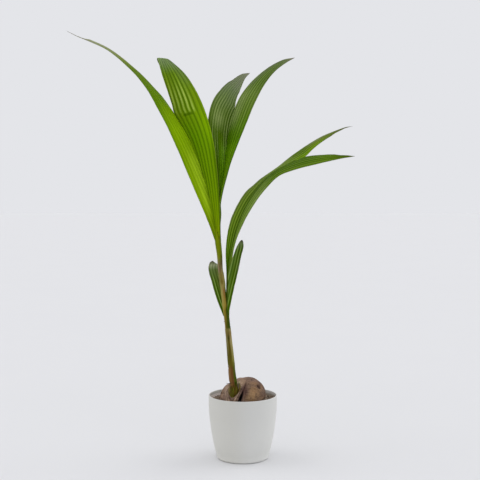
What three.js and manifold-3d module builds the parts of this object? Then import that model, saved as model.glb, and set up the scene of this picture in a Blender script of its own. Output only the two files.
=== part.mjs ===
// Potted coconut palm: a sprouted nut in a plain pot, with three tall two-lobed leaves and two short ones.
// Millimetres, +Z up. The origin is the centre of the pot's flat underside, and the plant's front faces -Y.
import * as THREE from 'three';
import { mergeVertices } from 'three/addons/utils/BufferGeometryUtils.js';
import Module from 'manifold-3d';

const wasm = await Module();
wasm.setup();

// Pot
const POT_HEIGHT = 205;
const POT_RIM_RADIUS = 110;
const POT_SHOULDER_DEPTH = 40;
const POT_BELLY_RADIUS = 106.6;
const POT_BELLY_HEIGHT = 125;
const POT_WAIST_RADIUS = 98;
const POT_WAIST_HEIGHT = 66;
const POT_BASE_RADIUS = 85;
const POT_BASE_CORNER = 9;
const POT_WALL = 3;
const POT_FLOOR = 4;
const POT_WALL_STEPS = 6;
const POT_SIDES = 40;

// Soil
const SOIL_BELOW_RIM = 15;
const SOIL_UNEVENNESS = 2.5;
const SOIL_WAVES = [[3, 1], [5, -0.7]];
const SOIL_SIDES = 30;
const SOIL_RINGS = 5;
const SOIL_MIDDLE = 1;

// Husk of the nut, which lies with its sprouting end to the front
const HUSK_CENTRE = [-4, 10, 188];
const HUSK_HALF_SIZE = [76, 80, 75];
const HUSK_LEAN = 0.17;
const HUSK_RIDGES = 3;
const HUSK_RIDGE_HEIGHT = 0.03;
const HUSK_RIDGE_TURN = 1.2;
const HUSK_SIDES = 28;
const HUSK_RINGS = 18;
const CRACK_FOOT = [-14, 190];
const CRACK_HEAD = [14, 262];
const CRACK_WIDTH_BACK = 0.6;
const CRACK_WIDTH_FRONT = 4;
const CRACK_BLOCK = 160;

// Stem: the points of its axis from the foot to the fork, and its radius at each
const STEM_AXIS = [
	[-25, -46, 196], [-27, -46, 224], [-30, -45, 252], [-35, -43, 306], [-40, -40, 353], [-45, -37, 398],
	[-51, -33, 450], [-56, -30, 500], [-62, -26, 563], [-68, -22, 612], [-74, -18, 655], [-79, -13, 698],
];
const STEM_RADII = [12.5, 13.5, 11.2, 9.6, 8.8, 7.8, 7.4, 7.2, 7.4, 6.3, 7.0, 9.5];
const STEM_SIDES = 16;
const STEM_STEPS = 26;

// Sheaths round the stem: the heights of foot and top, the direction they face (-90 is the front) and the
// angle that they wrap
const SHEATH_STEPS = 7;
const SHEATH_ARC_STEPS = 12;
const SHEATH_TOP_THINNING = 0.6;
const SHEATH_TOP_NARROWING = 0.55;
const SHEATH_SINK = 1;
const SHEATHS = {
	base_sheath: { foot: 206, top: 252, thickness: 4.2, facing: -80, wrap: 330, flare: 2.2 },
	lower_sheath: { foot: 253.5, top: 302, thickness: 1.5, facing: -110, wrap: 215, flare: 0.4 },
	middle_sheath: { foot: 304, top: 424, thickness: 1.2, facing: -60, wrap: 310, flare: 0.3 },
	upper_sheath: { foot: 560, top: 628, thickness: 1.3, facing: -50, wrap: 250, flare: 0.5 },
};

// Leaves
const CLEARANCE = 0.3;
const LEAF_THICKNESS_SHARE = 0.01;
const LEAF_EDGE_SHARE = 0.4;
const LEAF_LEAST_THICKNESS = 1;
const LEAF_WIDTH_FOR_FULL_THICKNESS = 3;
const LEAF_PLEATS = 3;
const LEAF_PLEAT_DEPTH = 1.4;
const LEAF_ROW_LENGTH = 34;
const RIB_SIDES = 8;
const RIB_STEP = 40;

// Each leaf has a rib and two halves. A half lies between its outer edge and its inner edge, which is the rib
// from its point bladeFrom on and, past the notch, the lobe's own inner margin. Points run from foot to tip.
// A half is in pieces, split at the notch and where it bends over, and ribBend is where a rib bends over.
const TALL_LEAF = {
	bladeFrom: 0,
	rib: [[-80, -12, 699], [-97, -2, 795], [-128, 22, 910], [-169, 50, 1021], [-225, 78, 1117]],
	ribRadii: [6, 2],
	left: {
		side: 1,
		bow: 0.05,
		splits: [0, 0.5, 0.76, 1],
		margin: [[-276, 72, 1187], [-355, 80, 1266], [-431, 92, 1321], [-501, 101, 1353], [-581, 110, 1391]],
		outer: [[-87, -16, 686], [-114, -14, 766], [-159, -8, 868], [-213, 0, 996], [-275, 15, 1124],
			[-344, 38, 1228], [-427, 64, 1309], [-496, 85, 1345], [-581, 107, 1386]],
	},
	right: {
		side: -1,
		bow: 0.05,
		splits: [0, 0.5, 0.78, 1],
		margin: [[-245, 84, 1182], [-265, 92, 1245], [-281, 110, 1299], [-283, 142, 1292], [-237, 162, 1207],
			[-184, 164, 1126]],
		outer: [[-72, -14, 690], [-73, -22, 824], [-80, -24, 928], [-93, -14, 1023], [-113, 10, 1098],
			[-148, 42, 1181], [-191, 72, 1249], [-245, 107, 1295], [-248, 142, 1284], [-213, 162, 1200],
			[-177, 164, 1127]],
	},
};
const BACK_LEAF = {
	bladeFrom: 0,
	rib: [[-75, -9, 690], [-69, 26, 817], [-61, 60, 914], [-49, 104, 1047], [-26, 140, 1139]],
	ribRadii: [5, 2],
	left: {
		side: 1,
		bow: 0.05,
		splits: [0, 0.68, 1],
		margin: [[-18, 148, 1169], [-6, 162, 1198], [4, 182, 1227], [22, 215, 1257]],
		outer: [[-78, 0, 700], [-93, 32, 865], [-110, 62, 995], [-114, 88, 1095], [-98, 112, 1162],
			[-56, 148, 1219], [-16, 182, 1250], [22, 214, 1261]],
	},
	right: {
		side: -1,
		bow: 0.05,
		splits: [0, 0.6, 0.8, 1],
		margin: [[-9, 144, 1175], [18, 152, 1214], [45, 162, 1244], [82, 176, 1274], [137, 196, 1304],
			[178, 213, 1315]],
		outer: [[-68, -4, 700], [-68, -2, 817], [-47, 10, 919], [-12, 32, 1023], [20, 60, 1102],
			[53, 98, 1184], [87, 136, 1241], [129, 174, 1284], [178, 212, 1311]],
	},
};
const ARCHING_LEAF = {
	bladeFrom: 1,
	rib: [[-49, -38, 430], [-47, -34, 485], [-48, -28, 547], [-46, -25, 617], [-39, -24, 658],
		[-20, -26, 741], [12, -30, 819], [56, -36, 882], [104, -40, 926], [148, -42, 950], [193, -44, 968]],
	ribRadii: [5, 1.8],
	ribBend: 0.6,
	left: {
		side: 1,
		bow: 0.04,
		splits: [0, 0.38, 0.7, 1],
		margin: [[221, -34, 993], [275, -15, 1032], [320, 3, 1057], [354, 10, 1066]],
		outer: [[-50, -30, 515], [-51, -24, 604], [-54, -21, 671], [-48, -20, 741], [-30, -20, 790],
			[7, -16, 855], [52, -8, 897], [105, 2, 933], [171, 8, 986], [251, 12, 1036], [304, 11, 1058],
			[354, 8, 1071]],
	},
	right: {
		side: -1,
		bow: 0.04,
		splits: [0, 0.38, 0.7, 1],
		margin: [[245, -66, 974], [293, -96, 972], [343, -126, 972]],
		outer: [[-42, -32, 515], [-38, -32, 611], [-27, -38, 687], [2, -52, 761], [27, -64, 810],
			[76, -78, 870], [112, -86, 907], [165, -94, 930], [241, -108, 950], [291, -118, 961],
			[343, -129, 967]],
	},
};
const SMALL_LEAVES = {
	small_left_leaf: {
		side: 1,
		bow: 0.1,
		inner: [[-50, -32, 464], [-60, -10, 512], [-69, 4, 563], [-74, 12, 604], [-80, 15, 622], [-95, 15, 637]],
		outer: [[-58, -33, 464], [-80, -12, 513], [-98, 0, 566], [-111, 8, 614], [-107, 12, 632], [-98, 14, 637]],
	},
	small_right_leaf: {
		side: -1,
		bow: 0.1,
		inner: [[-50, -36, 474], [-48, -43, 552], [-46, -48, 606], [-34, -54, 647], [-16, -58, 693],
			[-5, -58, 708]],
		outer: [[-42, -36, 474], [-30, -42, 546], [-17, -44, 605], [-6, -49, 656], [1, -54, 689], [-1, -58, 707]],
	},
};

// Finishes
const FINISHES = {
	pot: { color: 0xd9dad8, roughness: 0.55, metalness: 0 },
	soil: { color: 0x6f675c, roughness: 0.95, metalness: 0 },
	husk: { color: 0x8a705c, roughness: 0.9, metalness: 0 },
	stem: { color: 0x7d7a2c, roughness: 0.7, metalness: 0 },
	sheath: { color: 0x8a6235, roughness: 0.8, metalness: 0 },
	youngLeaf: { color: 0x6f9a10, roughness: 0.45, metalness: 0 },
	leaf: { color: 0x456f1a, roughness: 0.45, metalness: 0 },
};

// Closes a row of rings of equal length into one body. A ring is a loop whose two halves face each other,
// so the ends close with a strip between point i and its opposite.
function loftRings( rings ) {

	const around = rings[ 0 ].length;
	const positions = rings.flat().flatMap( ( point ) => point.toArray() );
	const triangles = [];
	for ( let row = 0; row < rings.length - 1; row ++ ) {

		for ( let i = 0; i < around; i ++ ) {

			const a = row * around + i;
			const b = row * around + ( i + 1 ) % around;
			triangles.push( a, b, b + around, a, b + around, a + around );

		}

	}

	const lastRow = ( rings.length - 1 ) * around;
	for ( let i = 0; i < around / 2 - 1; i ++ ) {

		const j = around - 1 - i;
		triangles.push( i, j, i + 1, i + 1, j, j - 1 );
		triangles.push( lastRow + i, lastRow + i + 1, lastRow + j, lastRow + i + 1, lastRow + j - 1, lastRow + j );

	}

	const geometry = new THREE.BufferGeometry();
	geometry.setAttribute( 'position', new THREE.Float32BufferAttribute( positions, 3 ) );
	geometry.setIndex( triangles );
	return geometry;

}

// A closed geometry as a solid. The faces are turned round if they point in.
function solidOf( geometry ) {

	const bare = geometry.clone();
	bare.deleteAttribute( 'normal' );
	bare.deleteAttribute( 'uv' );
	const merged = mergeVertices( bare, 1e-4 );
	const vertProperties = new Float32Array( merged.getAttribute( 'position' ).array );
	const triVerts = new Uint32Array( merged.getIndex().array );
	const corner = [ new THREE.Vector3(), new THREE.Vector3(), new THREE.Vector3() ];
	let volume = 0;
	for ( let i = 0; i < triVerts.length; i += 3 ) {

		corner.forEach( ( point, k ) => point.fromArray( vertProperties, 3 * triVerts[ i + k ] ) );
		volume += corner[ 0 ].dot( corner[ 1 ].cross( corner[ 2 ] ) );

	}

	if ( volume < 0 ) {

		triVerts.reverse();

	}

	return new wasm.Manifold( new wasm.Mesh( { numProp: 3, vertProperties, triVerts } ) );

}

// A solid back as a geometry. Flat faces keep their edges.
function geometryOf( solid ) {

	const mesh = solid.getMesh();
	const geometry = new THREE.BufferGeometry();
	geometry.setAttribute( 'position', new THREE.Float32BufferAttribute( mesh.vertProperties, 3 ) );
	geometry.setIndex( Array.from( mesh.triVerts ) );
	geometry.computeVertexNormals();
	return geometry;

}

function largestPiece( solid ) {

	const pieces = solid.decompose();
	return pieces.reduce( ( best, piece ) => ( piece.volume() > best.volume() ? piece : best ) );

}

function boxesMeet( a, b ) {

	const boxA = a.boundingBox();
	const boxB = b.boundingBox();
	return [ 0, 1, 2 ].every( ( k ) => boxA.min[ k ] < boxB.max[ k ] && boxB.min[ k ] < boxA.max[ k ] );

}

const palm = new THREE.Group();
const placed = [];

// Adds a sub-part. It gives way to every sub-part added before it, by the clearance in their grown forms.
function place( name, solid, grown, finish ) {

	let cut = solid;
	for ( const earlier of placed ) {

		if ( boxesMeet( cut, earlier ) ) {

			cut = cut.subtract( earlier );

		}

	}

	const mesh = new THREE.Mesh( geometryOf( largestPiece( cut ) ), new THREE.MeshStandardMaterial( finish ) );
	mesh.name = name;
	palm.add( mesh );
	placed.push( grown );

}

function vectors( points ) {

	return points.map( ( point ) => new THREE.Vector3( ...point ) );

}

function curveThrough( points ) {

	return new THREE.CatmullRomCurve3( vectors( points ) );

}

// Value of an evenly spaced list at a share of its length.
function valueAt( list, share ) {

	const spot = THREE.MathUtils.clamp( share, 0, 1 ) * ( list.length - 1 );
	const index = Math.min( Math.floor( spot ), list.length - 2 );
	return THREE.MathUtils.lerp( list[ index ], list[ index + 1 ], spot - index );

}

// A tapering limb round a curve, with its radius given at even shares of the curve.
function limb( curve, radii, sides, steps, grow ) {

	const frames = curve.computeFrenetFrames( steps, false );
	const rings = [];
	for ( let step = 0; step <= steps; step ++ ) {

		const share = step / steps;
		const centre = curve.getPointAt( share );
		const end = step === 0 ? - grow : step === steps ? grow : 0;
		centre.addScaledVector( frames.tangents[ step ], end );
		const radius = valueAt( radii, share ) + grow;
		const ring = [];
		for ( let i = 0; i < sides; i ++ ) {

			const angle = 2 * Math.PI * i / sides;
			ring.push( centre.clone()
				.addScaledVector( frames.normals[ step ], radius * Math.cos( angle ) )
				.addScaledVector( frames.binormals[ step ], radius * Math.sin( angle ) ) );

		}

		rings.push( ring );

	}

	return solidOf( loftRings( rings ) );

}

// The radii at the stem's own points, re-read at even shares of its length.
const stemCurve = curveThrough( STEM_AXIS );
const stemRadii = [];
for ( let step = 0; step <= STEM_STEPS; step ++ ) {

	stemRadii.push( valueAt( STEM_RADII, stemCurve.getUtoTmapping( step / STEM_STEPS ) ) );

}

// A level circle's direction at an angle in degrees: 0 is +X and -90 is the front.
function levelDirection( degrees ) {

	const angle = THREE.MathUtils.degToRad( degrees );
	return new THREE.Vector3( Math.cos( angle ), Math.sin( angle ), 0 );

}

// A leaf base that wraps round the stem: a shell with a slit, thinner and narrower towards its top.
function sheath( { foot, top, thickness, facing, wrap, flare }, grow ) {

	const stemFoot = STEM_AXIS[ 0 ][ 2 ];
	const stemRise = STEM_AXIS.at( - 1 )[ 2 ] - stemFoot;
	const rings = [];
	for ( let step = 0; step <= SHEATH_STEPS; step ++ ) {

		const rise = step / SHEATH_STEPS;
		const share = ( THREE.MathUtils.lerp( foot, top, rise ) - stemFoot ) / stemRise;
		const centre = stemCurve.getPointAt( share );
		centre.z += step === 0 ? - grow : step === SHEATH_STEPS ? grow : 0;
		const stemRadius = valueAt( stemRadii, share );
		const wall = thickness * ( 1 - SHEATH_TOP_THINNING * rise ) + flare * Math.sin( Math.PI * rise ) + grow;
		const narrowing = Math.sqrt( 1 - SHEATH_TOP_NARROWING * rise ** 3 );
		const span = wrap * narrowing + 2 * THREE.MathUtils.radToDeg( grow / stemRadius );
		const outside = [];
		const inside = [];
		for ( let i = 0; i <= SHEATH_ARC_STEPS; i ++ ) {

			const direction = levelDirection( facing + span * ( i / SHEATH_ARC_STEPS - 0.5 ) );
			outside.push( centre.clone().addScaledVector( direction, stemRadius + CLEARANCE + wall ) );
			inside.push( centre.clone().addScaledVector( direction, stemRadius - SHEATH_SINK ) );

		}

		rings.push( [ ...outside, ...inside.reverse() ] );

	}

	return solidOf( loftRings( rings ) );

}

// One half of a leaf between two edge curves, from one share of its length to another. It is thickest in the
// middle, thin at its edges and at its tip, and folded lengthwise into shallow pleats.
function halfBlade( inner, outer, { side, bow }, fromShare, toShare, grow ) {

	const length = outer.getLength();
	const thickness = length * LEAF_THICKNESS_SHARE;
	const rows = Math.max( 4, Math.round( length * ( toShare - fromShare ) / LEAF_ROW_LENGTH ) );
	const columns = 2 * LEAF_PLEATS;
	const rings = [];
	for ( let row = 0; row <= rows; row ++ ) {

		const share = THREE.MathUtils.lerp( fromShare, toShare, row / rows );
		const start = inner.getPointAt( share );
		const across = outer.getPointAt( share ).sub( start );
		const width = across.length();
		const along = inner.getTangentAt( share ).add( outer.getTangentAt( share ) ).normalize();
		const face = along.clone().cross( across ).normalize().multiplyScalar( side );
		const fullness = Math.min( 1, width / ( LEAF_WIDTH_FOR_FULL_THICKNESS * thickness ) );
		start.addScaledVector( along, row === 0 ? - grow : row === rows ? grow : 0 );
		const front = [];
		const back = [];
		for ( let column = 0; column <= columns; column ++ ) {

			const reach = column / columns;
			const pleat = LEAF_PLEAT_DEPTH * fullness * ( column % 2 === 0 ? - 0.5 : 0.5 );
			const lift = bow * width * 4 * reach * ( 1 - reach ) + pleat;
			const body = LEAF_EDGE_SHARE + ( 1 - LEAF_EDGE_SHARE ) * Math.sin( Math.PI * reach );
			const half = Math.max( LEAF_LEAST_THICKNESS, thickness * body * fullness ) / 2 + grow;
			const edge = column === 0 ? - grow : column === columns ? grow : 0;
			const middle = start.clone().addScaledVector( across, reach + edge / Math.max( width, 1 ) )
				.addScaledVector( face, lift );
			front.push( middle.clone().addScaledVector( face, half ) );
			back.push( middle.addScaledVector( face, - half ) );

		}

		rings.push( [ ...front, ...back.reverse() ] );

	}

	return solidOf( loftRings( rings ) );

}

function placeRib( name, leaf, fromShare, toShare, finish ) {

	const points = [];
	const curve = curveThrough( leaf.rib );
	const steps = Math.max( 3, Math.round( curve.getLength() * ( toShare - fromShare ) / RIB_STEP ) );
	for ( let step = 0; step <= steps; step ++ ) {

		points.push( curve.getPointAt( THREE.MathUtils.lerp( fromShare, toShare, step / steps ) ).toArray() );

	}

	const part = curveThrough( points );
	const partRadii = [ valueAt( leaf.ribRadii, fromShare ), valueAt( leaf.ribRadii, toShare ) ];
	const form = ( grow ) => limb( part, partRadii, RIB_SIDES, steps, grow );
	place( name, form( 0 ), form( CLEARANCE ), finish );

}

// A half in the pieces that its splits make, with one name for each.
function placeHalf( names, leaf, half, finish ) {

	const inner = curveThrough( [ ...leaf.rib.slice( leaf.bladeFrom ), ...half.margin ] );
	const outer = curveThrough( half.outer );
	names.forEach( ( name, i ) => {

		const form = ( grow ) => halfBlade( inner, outer, half, half.splits[ i ], half.splits[ i + 1 ], grow );
		place( name, form( 0 ), form( CLEARANCE ), finish );

	} );

}

// The husk as a whole: an ellipsoid with three soft ridges that leans to the right towards its top.
function huskForm( grow ) {

	const sphere = new THREE.SphereGeometry( 1, HUSK_SIDES, HUSK_RINGS );
	sphere.rotateX( Math.PI / 2 );
	const position = sphere.getAttribute( 'position' );
	const point = new THREE.Vector3();
	for ( let i = 0; i < position.count; i ++ ) {

		point.fromBufferAttribute( position, i );
		const angle = Math.atan2( point.z, point.x );
		const swell = Math.cos( HUSK_RIDGES * angle - HUSK_RIDGE_TURN ) * Math.hypot( point.x, point.z );
		const ridge = 1 + HUSK_RIDGE_HEIGHT * swell;
		point.multiply( new THREE.Vector3( ...HUSK_HALF_SIZE ) ).multiplyScalar( ridge );
		point.setLength( point.length() + grow );
		point.x += HUSK_LEAN * point.z;
		position.setXYZ( i, point.x + HUSK_CENTRE[ 0 ], point.y + HUSK_CENTRE[ 1 ], point.z + HUSK_CENTRE[ 2 ] );

	}

	return solidOf( sphere );

}

// The crack in the husk: a leaning wedge, open to the front, and the block to each side of it.
function huskSide( side ) {

	const height = CRACK_HEAD[ 1 ] - CRACK_FOOT[ 1 ];
	const slope = ( CRACK_HEAD[ 0 ] - CRACK_FOOT[ 0 ] ) / height;
	const crackX = ( z ) => CRACK_FOOT[ 0 ] + slope * ( z - CRACK_FOOT[ 1 ] );
	const sideways = new THREE.Vector3( side * CRACK_BLOCK, 0, 0 );
	const rings = [ - CRACK_BLOCK, CRACK_BLOCK ].map( ( y ) => {

		const share = ( y - HUSK_CENTRE[ 1 ] ) / ( 2 * HUSK_HALF_SIZE[ 1 ] ) + 0.5;
		const gap = THREE.MathUtils.lerp( CRACK_WIDTH_FRONT, CRACK_WIDTH_BACK, share ) / 2;
		const corners = [ - CRACK_BLOCK, CRACK_BLOCK ].map( ( dz ) => {

			const z = HUSK_CENTRE[ 2 ] + dz;
			return new THREE.Vector3( crackX( z ) + side * Math.max( gap, CLEARANCE ), y, z );

		} );
		const far = corners.map( ( corner ) => corner.clone().add( sideways ) );
		return [ corners[ 0 ], corners[ 1 ], far[ 1 ], far[ 0 ] ];

	} );
	return solidOf( loftRings( rings ) );

}

// The pot's wall from the underside's centre, up the outside, over the rim and down the inside.
function potProfile() {

	const outside = new THREE.CatmullRomCurve3( vectors( [
		[ POT_BASE_RADIUS, POT_BASE_CORNER, 0 ],
		[ POT_WAIST_RADIUS, POT_WAIST_HEIGHT, 0 ],
		[ POT_BELLY_RADIUS, POT_BELLY_HEIGHT, 0 ],
		[ POT_RIM_RADIUS, POT_HEIGHT - POT_SHOULDER_DEPTH, 0 ],
		[ POT_RIM_RADIUS, POT_HEIGHT, 0 ],
	] ) ).getPoints( POT_WALL_STEPS );
	const corner = [ 0, 1, 2 ].map( ( i ) => {

		const angle = - Math.PI / 2 + i * Math.PI / 6;
		return new THREE.Vector2(
			POT_BASE_RADIUS - POT_BASE_CORNER * ( 1 - Math.cos( angle ) ),
			POT_BASE_CORNER * ( 1 + Math.sin( angle ) ) );

	} );
	const wallOutside = outside.map( ( point ) => new THREE.Vector2( point.x, point.y ) );
	const wallInside = wallOutside.filter( ( point ) => point.y >= POT_FLOOR )
		.map( ( point ) => new THREE.Vector2( point.x - POT_WALL, Math.max( point.y, POT_FLOOR ) ) ).reverse();
	return {
		body: [ new THREE.Vector2( 0, 0 ), ...corner, ...wallOutside, ...wallInside,
			new THREE.Vector2( wallInside.at( - 1 ).x, POT_FLOOR ), new THREE.Vector2( 0, POT_FLOOR ) ],
		inside: wallInside,
	};

}

function lathe( profile, sides ) {

	const geometry = new THREE.LatheGeometry( profile, sides );
	geometry.rotateX( Math.PI / 2 );
	return solidOf( geometry );

}

// The soil fills the pot. Its top is uneven, in rings that fall from the middle to the wall.
function soilForm( inside ) {

	const top = POT_HEIGHT - SOIL_BELOW_RIM;
	const wall = inside.filter( ( point ) => point.y < top ).reverse();
	const rings = wall.map( ( point ) => ( { radius: point.x - CLEARANCE, height: point.y + CLEARANCE } ) );
	rings.unshift( { radius: SOIL_MIDDLE, height: POT_FLOOR + CLEARANCE } );
	for ( let ring = 0; ring < SOIL_RINGS; ring ++ ) {

		const radius = THREE.MathUtils.lerp( inside[ 0 ].x - CLEARANCE, SOIL_MIDDLE, ring / SOIL_RINGS );
		rings.push( { radius, height: top, uneven: true } );

	}

	const loops = rings.map( ( { radius, height, uneven } ) => {

		const loop = [];
		for ( let i = 0; i < SOIL_SIDES; i ++ ) {

			const angle = 2 * Math.PI * i / SOIL_SIDES;
			const waves = SOIL_WAVES.map( ( [ turns, drift ] ) => Math.sin( turns * angle + drift * radius ) );
			const z = height + ( uneven ? SOIL_UNEVENNESS * ( waves[ 0 ] + waves[ 1 ] ) / 2 : 0 );
			loop.push( new THREE.Vector3( radius * Math.cos( angle ), radius * Math.sin( angle ), z ) );

		}

		return loop;

	} );
	return solidOf( loftRings( loops ) );

}

// Stem and the sheaths round it
place( 'stem', limb( stemCurve, stemRadii, STEM_SIDES, STEM_STEPS, 0 ),
	limb( stemCurve, stemRadii, STEM_SIDES, STEM_STEPS, CLEARANCE ), FINISHES.stem );
for ( const [ name, form ] of Object.entries( SHEATHS ) ) {

	place( name, sheath( form, 0 ), sheath( form, CLEARANCE ), FINISHES.sheath );

}

// Leaves
placeRib( 'tall_leaf_rib', TALL_LEAF, 0, 1, FINISHES.youngLeaf );
placeRib( 'back_leaf_rib', BACK_LEAF, 0, 1, FINISHES.leaf );
placeRib( 'arching_leaf_stalk', ARCHING_LEAF, 0, ARCHING_LEAF.ribBend, FINISHES.leaf );
placeRib( 'arching_leaf_rib', ARCHING_LEAF, ARCHING_LEAF.ribBend, 1, FINISHES.leaf );
placeHalf( [ 'tall_leaf_left_half', 'tall_leaf_left_lobe', 'tall_leaf_left_tip' ],
	TALL_LEAF, TALL_LEAF.left, FINISHES.youngLeaf );
placeHalf( [ 'tall_leaf_right_half', 'tall_leaf_right_lobe', 'tall_leaf_curled_tip' ],
	TALL_LEAF, TALL_LEAF.right, FINISHES.youngLeaf );
placeHalf( [ 'back_leaf_left_half', 'back_leaf_left_lobe' ],
	BACK_LEAF, BACK_LEAF.left, FINISHES.leaf );
placeHalf( [ 'back_leaf_right_half', 'back_leaf_right_lobe', 'back_leaf_right_tip' ],
	BACK_LEAF, BACK_LEAF.right, FINISHES.leaf );
placeHalf( [ 'arching_leaf_left_foot', 'arching_leaf_left_half', 'arching_leaf_upper_lobe' ],
	ARCHING_LEAF, ARCHING_LEAF.left, FINISHES.leaf );
placeHalf( [ 'arching_leaf_right_foot', 'arching_leaf_right_half', 'arching_leaf_lower_lobe' ],
	ARCHING_LEAF, ARCHING_LEAF.right, FINISHES.leaf );
for ( const [ name, leaf ] of Object.entries( SMALL_LEAVES ) ) {

	const form = ( grow ) =>
		halfBlade( curveThrough( leaf.inner ), curveThrough( leaf.outer ), leaf, 0, 1, grow );
	place( name, form( 0 ), form( CLEARANCE ), FINISHES.leaf );

}

// Husk, pot and soil
const husk = huskForm( 0 );
const huskGrown = huskForm( CLEARANCE );
for ( const [ name, side ] of Object.entries( { husk_main: 1, husk_flap: - 1 } ) ) {

	const block = huskSide( side );
	place( name, husk.intersect( block ), huskGrown.intersect( block ), FINISHES.husk );

}

const { body, inside } = potProfile();
const potSolid = lathe( body, POT_SIDES );
place( 'pot', potSolid, potSolid, FINISHES.pot );

// The husk is taken out of the soil whole, so no soil runs into the crack.
const soil = soilForm( inside ).subtract( huskGrown );
place( 'soil', soil, soil, FINISHES.soil );

export default palm;
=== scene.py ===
import math
from functools import cached_property

import bmesh
import bpy
import numpy as np
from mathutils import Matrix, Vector, noise


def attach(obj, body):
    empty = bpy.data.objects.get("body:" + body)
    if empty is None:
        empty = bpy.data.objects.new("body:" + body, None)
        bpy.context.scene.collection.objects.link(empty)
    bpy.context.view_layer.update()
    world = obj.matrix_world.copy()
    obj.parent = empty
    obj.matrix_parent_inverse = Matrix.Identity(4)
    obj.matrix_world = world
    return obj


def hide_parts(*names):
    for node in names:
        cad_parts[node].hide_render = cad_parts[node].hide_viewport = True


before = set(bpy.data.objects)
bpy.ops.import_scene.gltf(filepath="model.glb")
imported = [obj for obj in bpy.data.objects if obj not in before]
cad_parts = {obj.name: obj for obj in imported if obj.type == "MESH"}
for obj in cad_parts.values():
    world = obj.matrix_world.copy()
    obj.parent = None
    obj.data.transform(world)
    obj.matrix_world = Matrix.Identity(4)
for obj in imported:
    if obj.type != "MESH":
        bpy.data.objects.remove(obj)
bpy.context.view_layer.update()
scene = bpy.context.scene
print("frame loaded:", len(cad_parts), "solids")


# values and colours

def inMetres(points):
    return np.array(points, float) * 0.001


def joined(*parts):
    # coordinates side by side, each one spread over the whole grid
    return np.stack(np.broadcast_arrays(*parts), -1)


def turns(sides):
    return 2 * math.pi * np.arange(sides) / sides


def paint(colour):
    # a colour as it is read off a screen, 0 to 255, for a node's socket
    shares = [channel / 255 for channel in colour]
    linear = [s / 12.92 if s <= 0.04045 else ((s + 0.055) / 1.055) ** 2.4 for s in shares]
    return (*linear, 1.0)


def unit(vectors):
    return vectors / np.maximum(np.linalg.norm(vectors, axis=-1, keepdims=True), 1e-12)


def grain(points, octaves=3):
    # smooth noise from about -1 to 1 at every point of an array
    flat = points.reshape(-1, 3).tolist()
    values = [noise.fractal(Vector(p), 1.0, 2.0, octaves) for p in flat]
    return np.array(values).reshape(points.shape[:-1])


def easeStep(values, low, high):
    share = np.clip((values - low) / (high - low), 0, 1)
    return share * share * (3 - 2 * share)


# shader maths as plain expressions

def operator(operation, swapped=False):
    # a method that joins a wire and another value in one Math node
    def method(wire, other):
        return wire.finish.maths(operation, *((other, wire) if swapped else (wire, other)))
    return method


class Wire:
    # a socket that can be added, taken away, multiplied and divided, and painted over
    def __init__(self, finish, socket):
        self.finish = finish
        self.socket = socket

    __add__ = __radd__ = operator("ADD")
    __sub__, __rsub__ = operator("SUBTRACT"), operator("SUBTRACT", True)
    __mul__ = __rmul__ = operator("MULTIPLY")
    __truediv__, __rtruediv__ = operator("DIVIDE"), operator("DIVIDE", True)

    def step(self, low, high):
        # 0 below low, 1 above high and smooth between; high may be the lower one
        return self.finish.node("MapRange", {"Value": self, "From Min": low, "From Max": high},
                                interpolation_type="SMOOTHSTEP")

    def window(self, start, first, last, end):
        # 1 from first to last, 0 before start and past end
        return self.step(start, first) * self.step(end, last)

    def coats(self, *layers):
        # this colour under others, each given as its share and its paint
        colour = self
        for share, shade in layers:
            colour = self.finish.mix(share, colour, shade)
        return colour

    def tint(self, brightness):
        # this colour made lighter or darker by a value about 1
        return self.finish.scaled(self, brightness)


class Finish:
    # a material with one Principled shader, and the nodes that feed it
    def __init__(self, name, gloss=0.5, glossTint=(255, 255, 255)):
        self.material = bpy.data.materials.new(name)
        self.material.use_nodes = True
        self.tree = self.material.node_tree
        self.shader = self.tree.nodes["Principled BSDF"]
        self.feed(self.shader, {"Specular IOR Level": gloss, "Specular Tint": glossTint})

    def feed(self, made, sockets):
        # each value is a wire, a colour or a number
        for key, value in sockets.items():
            socket = made.inputs[key]
            if isinstance(value, Wire):
                self.tree.links.new(value.socket, socket)
            elif isinstance(value, tuple):
                socket.default_value = paint(value)[:3 if socket.type == "VECTOR" else 4]
            else:
                socket.default_value = value

    def node(self, kind, sockets, out=0, **settings):
        made = self.tree.nodes.new("ShaderNode" + kind)
        for key, value in settings.items():
            setattr(made, key, value)
        self.feed(made, sockets)
        return Wire(self, made.outputs[out])

    @cached_property
    def here(self):
        return self.node("TexCoord", {}, "Object")

    def axis(self, number):
        return self.node("SeparateXYZ", {0: self.here}, number)

    def maths(self, operation, *values):
        return self.node("Math", dict(enumerate(values)), operation=operation)

    def mark(self, name):
        # a value that the mesh carries at each point
        return self.node("Attribute", {}, "Fac", attribute_name=name)

    def noise(self, scale, detail=3.0, rough=0.55, at=None):
        return self.node("TexNoise", {"Vector": at or self.here, "Scale": scale, "Detail": detail,
                                      "Roughness": rough})

    def streaks(self, x, y, z, detail, rough=0.6):
        # noise stretched along the piece by how its three coordinates are scaled
        return self.noise(1, detail, rough, self.node("CombineXYZ", {0: x, 1: y, 2: z}))

    def mix(self, share, first, second):
        return self.node("Mix", {0: share, 6: first, 7: second}, 2, data_type="RGBA")

    def scaled(self, colour, brightness):
        return self.node("VectorMath", {0: colour, "Scale": brightness}, operation="SCALE")

    def ramp(self, value, stops):
        made = self.node("ValToRGB", {0: value})
        elements = made.socket.node.color_ramp.elements
        for at, *colour in stops[:-2]:
            elements.new(at)
        for element, (at, *colour) in zip(elements, stops):
            element.position = at
            element.color = paint(colour)
        return made

    def done(self, colour, roughness, height=None, distance=0.0):
        sockets = {"Base Color": colour, "Roughness": roughness}
        if height:
            sockets["Normal"] = self.node("Bump", {"Height": height, "Distance": distance})
        self.feed(self.shader, sockets)
        return self


# lines and meshes

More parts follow.
